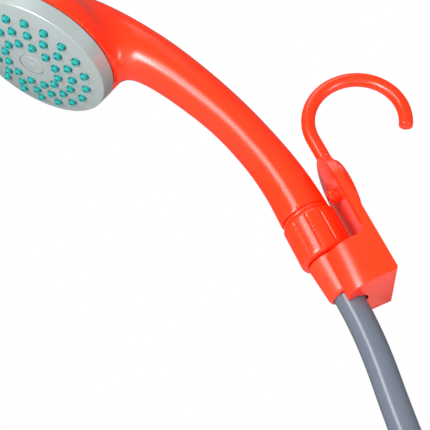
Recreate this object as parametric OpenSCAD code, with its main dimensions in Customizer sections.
// Hand shower of a portable shower, hanging by the hook of its cradle, with its hose.
// The origin is the point inside the hook's crown that hangs on a branch or rail.
// The hook's bend lies in the XZ plane, +Z is up and the shower head points towards -X.

/* [Hook] */
// Diameter of the hook's round bar
hook_rod_d = 7.2; // [6:0.2:8]
// Radius of the hook's bend, to the middle of the bar
hook_r = 24.8; // [22:0.2:28]
// How far the bend's free end stops short of the level of its middle, in degrees
hook_tip_drop = 4; // [0:1:20]
// Radius of the round foot that turns against the cradle
hook_foot_r = 17; // [14:0.5:19]
// Thickness of that foot
hook_foot_t = 2.9; // [2.5:0.1:4]

/* [Cradle] */
// Angle of the cradle's cup and of the handle's end from the vertical
tilt = 24; // [10:1:35]
// Width of the cradle
cradle_w = 40.6; // [38:0.2:44]
// Height of the block that holds the cup
block_h = 23.2; // [20:0.2:30]
// Thickness of the back plate
plate_t = 4.1; // [3:0.1:5]
// Front of the back plate, from the cup's middle line
plate_x = 17.8; // [17:0.2:24]
// Thickness of the floor under the hose cone
floor_t = 4.6; // [3:0.2:6]
// How far the cup's open front lies before its middle line
cup_front = 3.4; // [1:0.1:5]
// Radius of the inside corner between block and plate
throat_r = 6; // [2:0.2:8]
// Drop of the block's top towards the open front
rim_drop = 1.3; // [0:0.1:4]
// Height of the hook's pivot above the handle's end
pivot_z = 4.4; // [2:0.2:7]
// Diameter of the pivot pin's shaft
pin_d = 4.8; // [4:0.2:6]
// Diameter of the pivot pin's head
pin_head_d = 7.4; // [6.4:0.2:8.4]
// How far the pin's head stands out of the plate
pin_head_h = 3.6; // [2:0.2:4]
// Radius of the block's upright front corners
corner_r = 7; // [5:0.5:10]
// Depth of the hollow in the plate that clears the collar
hollow_depth = 1.5; // [0.8:0.1:2]

/* [Handle] */
// Diameter of the bead between the handle's end and the collar
bead_d = 24.8; // [24:0.2:28]
// Height of that bead
bead_h = 2; // [1.6:0.2:3]
// Diameter of the threaded end, over its thread
thread_d = 20.9; // [20:0.1:22]
// Length of the threaded end
thread_len = 13; // [10:0.5:15]
// Turn of the hand shower about the hose in the picture, in degrees
rest_turn = 5.7; // [-20:0.1:20]
// Wall of the hollow handle
handle_wall = 2.6; // [2:0.1:3.5]

/* [Head] */
// Middle of the spray face, before the handle's line
head_x = -93.1; // [-100:0.1:-85]
// Middle of the spray face, above the handle's end
head_z = 142; // [132:0.1:150]
// Angle between the head's back and the handle's line
head_angle = 48.9; // [40:0.1:60]
// Radius of the face plate's rim
rim_r = 42.9; // [40:0.1:50]
// How much smaller the radius of the domed face is than its rim
rim_band = 1.8; // [1:0.1:4]
// Distance of the rim behind the middle of the face
rim_depth = 12.2; // [10:0.1:14]
// Radius of the gentle dome of the spray face
dome_r = 220; // [150:5:300]
// Depth of the whole head at its middle
head_depth = 37; // [34:0.5:42]
// Wall of the head's shell
shell_wall = 2.7; // [2:0.1:3.4]
// Wall of the face plate
face_wall = 2.2; // [1.8:0.1:3]
// Radii of the three rings of nozzles, as parts of the face's radius
ring_share = [0.387, 0.584, 0.776]; // [0.3:0.001:0.82]
// Number of nozzles in each ring
ring_n = [12, 16, 18]; // [8:1:20]
// Diameter of a nozzle at its root
nozzle_d = 4.4; // [3.5:0.1:5]
// How far a nozzle stands out of the face
nozzle_h = 2.2; // [1:0.1:3]
// Diameter of a nozzle's jet
jet_d = 1; // [0.8:0.1:1.4]

/* [Collar and hose] */
// Diameter of the ribbed collar nut
collar_d = 27.5; // [26:0.1:29]
// Length of the collar nut
collar_len = 22.7; // [20:0.1:26]
// Number of grip panels round the collar
collar_panels = 12; // [8:1:14]
// Width of the grooves between them
groove_w = 1.5; // [1:0.1:2]
// Depth of those grooves
groove_depth = 0.5; // [0.3:0.1:0.7]
// Diameter of the hose cone at its top
cone_top_d = 22.7; // [21:0.1:24]
// Diameter of the hose cone at its foot
cone_foot_d = 19.3; // [18.6:0.1:20.4]
// Length of the hose cone below the collar
cone_len = 19.8; // [18:0.2:24]
// Outside diameter of the hose
hose_d = 13.8; // [12:0.2:14.2]
// Bore of the hose
hose_bore = 9; // [8:0.5:10]
// Middle radius of the stored coil
coil_r = 80; // [72:1:90]
// Full turns in the stored coil
coil_turns = 3; // [2:1:5]

/* [Pump end] */
// Diameter of the union nut that screws on the pump
union_d = 27; // [26:0.5:32]
// Length of the union nut
union_len = 18; // [15:0.5:24]
// Length of the sleeve pressed over the hose's end
ferrule_len = 16; // [12:0.5:20]

/* [Clearances] */
// Gap between faces that turn or slide past each other
run_gap = 0.4; // [0.3:0.05:0.5]
// Gap round parts that fit inside one another
fit_gap = 0.1; // [0.05:0.05:0.2]
// Gap on the radius of the pivot pin
pin_gap = 0.08; // [0.05:0.01:0.1]

/* [Hidden] */
$fn = 64;

orange = "#FF4E28";
silver = "#B9BEC0";
teal = "#1FB5AE";
grey = "#6C727E";
brass = "#B8954A";
black = "#26282B";
steel = "#A9ADB2";
milk = "#D9DCDD";

// Heights in the cup's frame: 0 is just under the handle's end, +Z runs up the handle
collar_top = -1.9;
collar_foot = collar_top - collar_len;
neck_gap = 0.6;
cone_top = collar_foot - neck_gap;
cone_foot = cone_top - cone_len;
cup_floor = cone_foot - run_gap;
cradle_foot = cup_floor - floor_t;
rim_z = cradle_foot + block_h;
plate_back = plate_x + plate_t;
plate_top = pivot_z + cradle_w / 2;
hollow_r = plate_x + hollow_depth;
foot_x = plate_back + run_gap;
foot_back = foot_x + hook_foot_t;
rod_r = hook_rod_d / 2;
shank_out = 0.9;
shank_x = foot_back + shank_out - rod_r;
bend_z = 38;
washer_r = 6;
washer_sink = 0.7;
slot_r = hose_d / 2 + 0.6;
sleeve_r = 8;
washer_top = -thread_len - 0.2;
washer_t = 1.8;
insert_top = washer_top - washer_t;
insert_seat = insert_top - 3;
nut_lip_top = insert_seat - 0.3;
neck_r = 8.2;
collar_phase = 13.8;
barb_foot = cone_top - 12;
hose_play = 1;
hose_top = cone_top - 3;

// Depths in the head's frame: 0 is the middle of the spray face, +Z runs into the head
function sag(r) = dome_r - sqrt(dome_r * dome_r - r * r);
// Points along the dome, from radius a to radius b, at a depth behind the face
function dome(a, b, depth) = [for (i = [0:5]) let (r = a + (b - a) * i / 5) [r, sag(r) + depth]];
ring_phase = [11.2, 2.8, 10.4];
face_r = rim_r - rim_band;
ring_r = [for (k = ring_share) k * face_r];
hole_r = nozzle_d / 2 + 0.3;
cap_r = 7.2;
cap_h = 1.2;
screw_r = 1.6;
screw_head_r = 3;
screw_head_h = 1.6;
post_r = 4.6;
boss_r = 10.5;
boss_top = cap_h + screw_head_h + 1.6;
mat_r = ring_r[2] + 4.6;
mat_t = 1.6;
mat_front = face_wall + fit_gap;
backing_t = 2;
backing_front = mat_front + mat_t + fit_gap;
backing_hub_r = boss_r + 0.4;
post_foot = backing_front + backing_t + sag(backing_hub_r) + fit_gap;
seal_t = 0.6;
bowl_top = rim_depth + seal_t;
bowl_r = rim_r + 0.5;
bowl_h = head_depth - bowl_top;
bowl_in_r = bowl_r - shell_wall;
bowl_in_h = bowl_h - shell_wall - 0.3;
// Outline of the bowl, as parts of its radius and of its height
bowl_share = [[1, 0], [0.995, 0.05], [0.982, 0.13], [0.966, 0.215], [0.94, 0.34], [0.88, 0.5],
    [0.775, 0.67], [0.63, 0.81], [0.45, 0.91], [0.23, 0.975], [0, 1]];
function bowl(r, h) = [for (p = bowl_share) [p[0] * r, bowl_top + p[1] * h]];

// The bend's middle hangs straight below the origin; the cup follows from it
bend_mid = [0, 0, rod_r - hook_r];
back_dir = [cos(tilt), 0, sin(tilt)];
up_dir = [-sin(tilt), 0, cos(tilt)];
cup_origin = bend_mid - (shank_x + hook_r) * back_dir - bend_z * up_dir;

module in_cup() translate(cup_origin) rotate([0, -tilt, 0]) children();
module in_handset() in_cup() rotate([0, 0, rest_turn]) children();
module in_head() in_handset() translate([head_x, 0, head_z]) rotate([0, head_angle, 0]) children();
module along_pivot(x) translate([x, 0, pivot_z]) rotate([0, 90, 0]) children();

// A solid of revolution from its outline's radii and heights
module lathe(outline) rotate_extrude() polygon(outline);

// Corner points of an arc, from angle a to angle b
function arc(mid, r, a, b, steps) =
    [for (i = [0:steps]) mid + r * [cos(a + (b - a) * i / steps), sin(a + (b - a) * i / steps)]];

// A smooth curve through hand-chosen stations
function curve_at(p0, p1, p2, p3, t) = 0.5 * (2 * p1 + (p2 - p0) * t
    + (2 * p0 - 5 * p1 + 4 * p2 - p3) * t * t + (3 * p1 - p0 - 3 * p2 + p3) * t * t * t);
function station(s, i) = s[max(0, min(len(s) - 1, i))];
function smooth(s, parts) = concat([for (i = [0:len(s) - 2], k = [0:parts - 1])
    curve_at(station(s, i - 1), s[i], s[i + 1], station(s, i + 2), k / parts)], [s[len(s) - 1]]);

// A closed skin over rings of equal size, with flat ends
module skin(rings) {
    n = len(rings[0]);
    last = len(rings) - 1;
    points = [for (ring = rings) each ring];
    sides = [for (i = [0:last - 1], k = [0:n - 1])
        [i * n + k, i * n + (k + 1) % n, (i + 1) * n + (k + 1) % n, (i + 1) * n + k]];
    polyhedron(points = points, convexity = 6, faces = concat(
        [[for (k = [n - 1:-1:0]) k]], sides, [[for (k = [0:n - 1]) last * n + k]]));
}

// Rings across a path of x, z and radius in one upright plane
function path_rings(path, n, grow) = [for (i = [0:len(path) - 1])
    let (a = path[max(0, i - 1)], b = path[min(len(path) - 1, i + 1)],
         d = [b[0] - a[0], b[1] - a[1]] / norm([b[0] - a[0], b[1] - a[1]]), r = path[i][2] + grow)
    [for (k = [0:n - 1]) let (c = 360 * k / n)
        [path[i][0] - d[1] * r * cos(c), r * sin(c), path[i][1] + d[0] * r * cos(c)]]];

// Rings across a path of points in space; every ring keeps the same upright reference
function tube_rings(path, n, r) = [for (i = [0:len(path) - 1])
    let (d = path[min(len(path) - 1, i + 1)] - path[max(0, i - 1)], t = d / norm(d),
         u = cross(t, [0, 1, 0]) / norm(cross(t, [0, 1, 0])), v = cross(t, u))
    [for (k = [0:n - 1]) let (c = 360 * (k + 0.5) / n) path[i] + r * (cos(c) * u + sin(c) * v)]];

/* Hook: round bar with a flat foot that lies on the cradle's back plate */

module hook() color(orange) in_cup() {
    step_z = plate_top + 1.2;
    free_angle = -tilt - hook_tip_drop;
    // the rounded end sits a little inside the bar and is a hair slimmer
    tip_angle = free_angle + 1.2;
    tip = [shank_x + hook_r + hook_r * cos(tip_angle), 0, bend_z + hook_r * sin(tip_angle)];
    difference() {
        union() {
            translate([shank_x + hook_r, 0, bend_z]) rotate([90, 0, 0])
                rotate([0, 0, free_angle]) rotate_extrude(angle = 180 - free_angle)
                    translate([hook_r, 0]) circle(rod_r);
            translate(tip) sphere(rod_r - 0.04);
            translate([shank_x, 0, pivot_z + 2]) cylinder(h = bend_z - pivot_z - 1.4, r = rod_r - 0.02);
            along_pivot(foot_x) lathe([[0, 0], [hook_foot_r, 0], [hook_foot_r, hook_foot_t - 1.4],
                [hook_foot_r - 0.4, hook_foot_t - 0.4], [hook_foot_r - 1.4, hook_foot_t], [0, hook_foot_t]]);
            // web that widens from the bar to the foot
            translate([foot_x, 0, pivot_z]) rotate([90, 0, 90]) linear_extrude(hook_foot_t - 0.5)
                polygon([[-hook_foot_r * 0.8, hook_foot_r * 0.55], [hook_foot_r * 0.8, hook_foot_r * 0.55],
                    [rod_r - 0.4, hook_foot_r + 9], [0.4 - rod_r, hook_foot_r + 9]]);
        }
        // flat that clears the plate, below the step
        translate([foot_x - 8, -10, -hook_foot_r]) cube([8, 20, step_z + hook_foot_r]);
        along_pivot(foot_x - 1) cylinder(h = hook_foot_t + 4, d = pin_d);
        along_pivot(foot_x - 1) cylinder(h = 1 + washer_sink, r = washer_r + fit_gap);
    }
}

module pivot_pin() color(orange) in_cup() {
    head_r = pin_head_d / 2;
    head_seat = sqrt(hollow_r * hollow_r - head_r * head_r) - fit_gap;
    head_front = plate_x - pin_head_h;
    along_pivot(head_front) lathe([[0, 1], [0.7, 0.9], [1.1, 0.3], [head_r - 0.9, 0],
        [head_r - 0.25, 0.3], [head_r, 0.9], [head_r, head_seat - head_front],
        [pin_d / 2, head_seat - head_front], [pin_d / 2, foot_back - head_front],
        [0, foot_back - head_front]]);
}

// Spring washer that gives the pivot its friction
module friction_washer() color(steel) in_cup() along_pivot(plate_back + 0.1) difference() {
    cylinder(h = run_gap + washer_sink - 0.1, r = washer_r);
    translate([0, 0, -1]) cylinder(h = 4, r = pin_d / 2 + 0.2);
}

/* Cradle: a block with an open cup and a round-topped back plate */

module cradle() color(orange) in_cup() {
    w = cradle_w / 2;
    depth = plate_back + cup_front;
    throat_x = plate_x - throat_r;
    difference() {
        intersection() {
            // seen from the side
            translate([0, w + 1, 0]) rotate([90, 0, 0]) linear_extrude(cradle_w + 2) polygon(concat(
                [[plate_back - 0.8, cradle_foot], [plate_back, cradle_foot + 1.2],
                 [plate_back, plate_top], [plate_x, plate_top]],
                arc([throat_x, rim_z + throat_r], throat_r, 0, -90, 8),
                [[corner_r, rim_z], [-cup_front, rim_z - rim_drop], [-cup_front, cradle_foot + 1],
                 [1 - cup_front, cradle_foot]]));
            // seen from above: two round corners in front and a square back
            translate([0, 0, cradle_foot - 1]) linear_extrude(plate_top - cradle_foot + 2) union() {
                for (side = [-1, 1]) translate([corner_r - cup_front, side * (w - corner_r)]) circle(corner_r);
                translate([-cup_front, corner_r - w]) square([plate_x, cradle_w - 2 * corner_r]);
                translate([corner_r - cup_front, -w]) square([plate_back - 1 - corner_r + cup_front, cradle_w]);
                translate([corner_r, 1 - w]) square([plate_back - corner_r, cradle_w - 2]);
            }
            // seen from the front: the plate's round top
            translate([-cup_front - 1, 0, plate_top - w]) rotate([0, 90, 0]) union() {
                cylinder(h = depth + 2, r = w, $fn = 96);
                translate([0, -w, 0]) cube([plate_top - cradle_foot + 1, cradle_w, depth + 2]);
            }
        }
        // cup for the cone
        translate([0, 0, cup_floor]) lathe([[0, 0], [cone_foot_d / 2 + run_gap, 0],
            [cone_top_d / 2 + run_gap, cone_len + run_gap], [collar_d / 2 + 1, cone_len + run_gap + 2],
            [collar_d / 2 + 1, 60], [0, 60]]);
        // slot that lets the hose in from the front
        translate([0, 0, cradle_foot - 1]) cylinder(h = floor_t + 3, r = slot_r);
        translate([-cradle_w, -slot_r, cradle_foot - 1]) cube([cradle_w, 2 * slot_r, floor_t + 3]);
        // hollow for the collar, round at its top, and the pivot hole
        hollow_foot = rim_z + 2.4;
        lathe(concat([[0, hollow_foot], [hollow_r - 2.6, hollow_foot], [hollow_r - 0.8, hollow_foot + 1],
            [hollow_r, hollow_foot + 3]], arc([0, pivot_z], hollow_r, 0, 40, 8), [[0, pivot_z + hollow_r]]));
        along_pivot(plate_x - 1) cylinder(h = plate_t + 2, r = pin_d / 2 + pin_gap);
    }
}

/* Hand shower: one hollow moulding from the threaded end to the head's bowl */

// The handle's middle line, as distance back, height and radius
handle_line = [[-0.4, 1, 12.7], [-1.1, 20, 12], [-4, 41, 11.4], [-10.1, 66, 11.4], [-18.4, 89, 12.1],
    [-29, 112, 13.2], [-39.4, 128.5, 14.8], [-50.6, 142.8, 16.6], [-61.2, 154, 17.6], [-71.6, 161.8, 15.8],
    [-81.3, 166.6, 9]];
channel_line = concat([[-0.6, 5, 9.2]],
    [for (s = handle_line) if (s[1] > 10 && s[1] < 150) [s[0], s[1], s[2] - handle_wall]]);
handle_sides = 32;

module handset_shell() color(orange) {
    bead_r = bead_d / 2;
    bead_foot = collar_top + 0.3;
    bead_top = bead_foot + bead_h;
    difference() {
        union() {
            in_handset() skin(path_rings(smooth(handle_line, 3), handle_sides, 0));
            in_handset() lathe([[0, -thread_len], [thread_d / 2 - 0.6, -thread_len],
                [thread_d / 2, 0.6 - thread_len], [thread_d / 2, bead_foot], [bead_r - 0.7, bead_foot],
                [bead_r, bead_foot + 0.7], [bead_r, bead_top - 0.6], [bead_r - 0.7, bead_top],
                [bead_r - 0.9, bead_top + 1.4], [0, bead_top + 1.4]]);
            in_head() lathe(concat([[0, bowl_top]], bowl(bowl_r, bowl_h)));
        }
        in_handset() skin(path_rings(smooth(channel_line, 2), 16, 0));
        in_handset() translate([0, 0, -thread_len - 1])
            cylinder(h = thread_len + 6, r = sleeve_r + fit_gap / 2);
        in_head() lathe(concat([[0, bowl_top - 1], [bowl_in_r, bowl_top - 1]], bowl(bowl_in_r, bowl_in_h)));
    }
    // post that takes the face screw
    in_head() difference() {
        translate([0, 0, post_foot]) cylinder(h = bowl_top + bowl_in_h + 1 - post_foot, r = post_r);
        translate([0, 0, post_foot - 1]) cylinder(h = 12, r = screw_r + fit_gap / 2);
    }
}

// Brass sleeve that stiffens the threaded end
module spigot_sleeve() color(brass) in_handset() difference() {
    translate([0, 0, -thread_len]) cylinder(h = thread_len + 4, r = sleeve_r);
    translate([0, 0, -thread_len - 1]) cylinder(h = thread_len + 6, r = sleeve_r - 1.2);
}

/* Spray face */

module at_nozzles() for (k = [0:len(ring_r) - 1], i = [0:ring_n[k] - 1])
    rotate([0, 0, ring_phase[k] + 360 * i / ring_n[k]]) translate([ring_r[k], 0, sag(ring_r[k])]) children();

module face_plate() color(silver) in_head() difference() {
    lathe(concat(dome(0, face_r, 0),
        [[face_r + 0.3, sag(face_r) + 0.4], [rim_r, rim_depth - 0.6], [rim_r - 0.3, rim_depth],
         [bowl_in_r, rim_depth], [face_r - face_wall, sag(face_r) + face_wall + 0.4]],
        dome(mat_r + 1.4, boss_r, face_wall), [[boss_r, boss_top], [0, boss_top]]));
    at_nozzles() translate([0, 0, -3]) cylinder(h = 12, r = hole_r);
    translate([0, 0, -1]) cylinder(h = 1 + cap_h, r = cap_r + fit_gap);
    translate([0, 0, cap_h - 1]) cylinder(h = 1 + screw_head_h, r = screw_head_r + fit_gap);
    cylinder(h = 20, r = screw_r + 0.3);
}

module centre_cap() color(silver) in_head() lathe([[0, -0.45], [1.6, -0.4], [2.8, 0], [3.8, 0.15],
    [4.8, 0], [5.4, -0.1], [6.6, 0], [cap_r, 0.4], [cap_r, cap_h], [0, cap_h]]);

module face_screw() color(steel) in_head() lathe([[0, cap_h + 0.1], [screw_head_r, cap_h + 0.1],
    [screw_head_r, cap_h + screw_head_h], [screw_r, cap_h + screw_head_h], [screw_r, post_foot + 9],
    [0, post_foot + 9]]);

// Rubber mat whose nozzles stand through the holes of the plate
module nozzle_mat() color(teal) in_head() difference() {
    union() {
        lathe(concat(dome(backing_hub_r, mat_r, mat_front), dome(mat_r, backing_hub_r, mat_front + mat_t)));
        at_nozzles() translate([0, 0, -nozzle_h]) cylinder(h = nozzle_h + mat_front + 0.6,
            r1 = nozzle_d / 2 - 0.5, r2 = nozzle_d / 2);
    }
    at_nozzles() translate([0, 0, -nozzle_h - 1]) cylinder(h = nozzle_h + 9, r = jet_d / 2);
}

// Stiff plate that holds the mat; water reaches each nozzle through its own hole
module mat_backing() color(milk) in_head() difference() {
    lathe(concat([[0, boss_top + fit_gap], [backing_hub_r, boss_top + fit_gap]],
        dome(backing_hub_r, mat_r + 1, backing_front),
        dome(mat_r + 1, backing_hub_r, backing_front + backing_t),
        [[0, post_foot - fit_gap]]));
    at_nozzles() translate([0, 0, -3]) cylinder(h = 20, r = jet_d);
    cylinder(h = 20, r = screw_r + 0.3);
}

// Flat ring between the plate's rim and the shell's rim
module face_seal() color(black) in_head() translate([0, 0, rim_depth]) difference() {
    cylinder(h = seal_t, r = rim_r - 0.6);
    translate([0, 0, -1]) cylinder(h = seal_t + 2, r = bowl_in_r + 0.2);
}

/* Collar and the hose's upper end */

module collar_nut() color(orange) in_handset() {
    r = collar_d / 2;
    difference() {
        translate([0, 0, collar_foot]) lathe([[0, 0], [r - 1.4, 0], [r - 0.4, 0.4], [r, 1.3],
            [r, collar_len - 1], [r - 0.8, collar_len], [0, collar_len]]);
        translate([0, 0, nut_lip_top]) cylinder(h = collar_len, r = thread_d / 2 + fit_gap);
        translate([0, 0, collar_foot - 1]) cylinder(h = collar_len, r = neck_r + fit_gap);
        for (i = [0:collar_panels - 1]) rotate([0, 0, collar_phase + 360 * i / collar_panels])
            translate([r - groove_depth, -groove_w / 2, collar_foot + 3])
                cube([3, groove_w, collar_len - 5.6]);
    }
}

module nut_washer() color(black) in_cup() translate([0, 0, insert_top]) difference() {
    cylinder(h = washer_t, r = thread_d / 2 - 0.6);
    translate([0, 0, -1]) cylinder(h = washer_t + 2, r = 5);
}

// Barbed insert: its flange is held in the collar, its barb grips the hose
module hose_insert() color(brass) in_cup() {
    barb_r = hose_bore / 2;
    difference() {
        lathe([[0, insert_top], [thread_d / 2 - 0.6, insert_top], [thread_d / 2 - 0.6, insert_seat],
            [5.2, insert_seat], [5.2, hose_top], [barb_r - 0.2, hose_top], [barb_r + 0.3, hose_top - 1],
            [barb_r - 0.2, hose_top - 3.5], [barb_r + 0.3, hose_top - 4], [barb_r - 0.2, hose_top - 6.5],
            [barb_r + 0.3, hose_top - 7], [barb_r - 0.4, barb_foot], [0, barb_foot]]);
        translate([0, 0, barb_foot - 1]) cylinder(h = 40, r = barb_r - 1.4);
    }
}

module hose_cone() color(orange) in_cup() {
    foot_r = cone_foot_d / 2;
    difference() {
        lathe([[0, insert_seat], [neck_r, insert_seat], [neck_r, cone_top], [cone_top_d / 2 - 0.4, cone_top],
            [cone_top_d / 2, cone_top - 0.5], [foot_r + 0.15, cone_foot + 1.6], [foot_r - 0.3, cone_foot + 0.5],
            [foot_r - 1.2, cone_foot], [0, cone_foot]]);
        translate([0, 0, cone_foot - 1]) cylinder(h = hose_top - cone_foot + 1, r = hose_d / 2 + hose_play);
        translate([0, 0, hose_top - 1]) cylinder(h = 30, r = 5.2);
    }
}

/* Hose: its free stretch, the stored coil and the end that carries the pump's nut */

function cup_point(x, z) = cup_origin + x * back_dir + z * up_dir;
coil_mid = [-47, 0, -291];
coil_half = coil_turns * hose_d / 2;
// Points of the free stretch below the cone, chosen by hand, in millimetres
hose_route = concat(
    [cup_point(0, hose_top), cup_point(-0.3, (hose_top + cone_foot) / 2), cup_point(-0.8, cone_foot)],
    [[-5.6, 0, -127], [-0.7, 0, -140], [3.3, 0, -153], [7.1, 0, -167], [11, -0.5, -181], [15.1, -2, -195],
     [19.7, -5.5, -209], [24.5, -10.5, -223], [28.5, -15.2, -237], [31.4, -18.4, -251], [32.8, -20.2, -264],
     [33, -coil_half, -277]]);
tail_route = [for (z = [-291, -303, -317, -331, -345, -359]) [33, coil_half, z]];
tail_end = [33, coil_half, -359];
hose_sides = 12;

module hose() color(grey) skin(tube_rings(hose_route, hose_sides, hose_d / 2));

// The stored turns lie side by side, so the bundle is one ring with its edges broken
module hose_coil() color(grey) translate(coil_mid) rotate([90, 0, 0]) rotate_extrude() translate([coil_r, 0]) {
    a = hose_d / 2;
    b = coil_half + a;
    edge = 2.6;
    polygon([[-a, edge - b], [edge - a, -b], [a - edge, -b], [a, edge - b], [a, b - edge], [a - edge, b],
        [edge - a, b], [-a, b - edge]]);
}

// Hook-and-loop strap round the bundle, at its top
module coil_tie() color(black) translate(coil_mid + [0, 0, coil_r]) {
    t = 1.4;
    band = 16;
    half_w = coil_half + hose_d / 2;
    difference() {
        cube([band, 2 * half_w + 2 * t, hose_d + 2 * t + 1], center = true);
        cube([band + 2, 2 * half_w + 0.02, hose_d + 1], center = true);
    }
}

module hose_tail() color(grey) skin(tube_rings(tail_route, hose_sides, hose_d / 2));

// Heights below the hose's end
union_seat = -10;
union_lip = 2.5;
union_flange = union_seat - 2.5;
relief_len = 5.2;
module at_tail() translate(tail_end) children();

module pump_ferrule() color(steel) at_tail() difference() {
    lathe([[0, 0], [hose_d / 2 + 1, 0], [hose_d / 2 + 1.4, 0.6], [hose_d / 2 + 1.4, ferrule_len - 1],
        [hose_d / 2 + 0.8, ferrule_len], [0, ferrule_len]]);
    translate([0, 0, -1]) cylinder(h = ferrule_len + 2, r = hose_d / 2);
}

module pump_insert() color(brass) at_tail() difference() {
    lathe([[0, 12], [hose_bore / 2 - 0.3, 12], [hose_bore / 2, 0], [7.4, 0], [7.4, union_seat],
        [thread_d / 2 - 0.8, union_seat], [thread_d / 2 - 0.8, union_flange], [0, union_flange]]);
    translate([0, 0, -30]) cylinder(h = 60, r = 3.2);
}

module pump_washer() color(black) at_tail() translate([0, 0, union_flange - washer_t]) difference() {
    cylinder(h = washer_t, r = thread_d / 2 - 0.8);
    translate([0, 0, -1]) cylinder(h = washer_t + 2, r = 5);
}

module union_nut() color(orange) at_tail() translate([0, 0, union_seat + union_lip + run_gap]) difference() {
    r = union_d / 2;
    translate([0, 0, -union_len]) lathe([[0, 0], [r - 1, 0], [r, 1], [r, union_len - 1.4],
        [r - 1.4, union_len], [0, union_len]]);
    translate([0, 0, -union_len - 1]) cylinder(h = union_len + 1 - union_lip, r = thread_d / 2);
    // relief beside the insert's flange and the washer
    translate([0, 0, -union_lip - relief_len]) cylinder(h = relief_len, r = thread_d / 2 + 0.5);
    translate([0, 0, -union_lip - 1]) cylinder(h = 10, r = 7.4 + fit_gap);
    for (i = [0:11]) rotate([0, 0, 30 * i]) translate([r - 0.6, -1, 2.5 - union_len])
        cube([3, 2, union_len]);
}

hook();
pivot_pin();
friction_washer();
cradle();
handset_shell();
spigot_sleeve();
face_plate();
centre_cap();
face_screw();
nozzle_mat();
mat_backing();
face_seal();
collar_nut();
nut_washer();
hose_insert();
hose_cone();
hose();
hose_coil();
coil_tie();
hose_tail();
pump_ferrule();
pump_insert();
pump_washer();
union_nut();
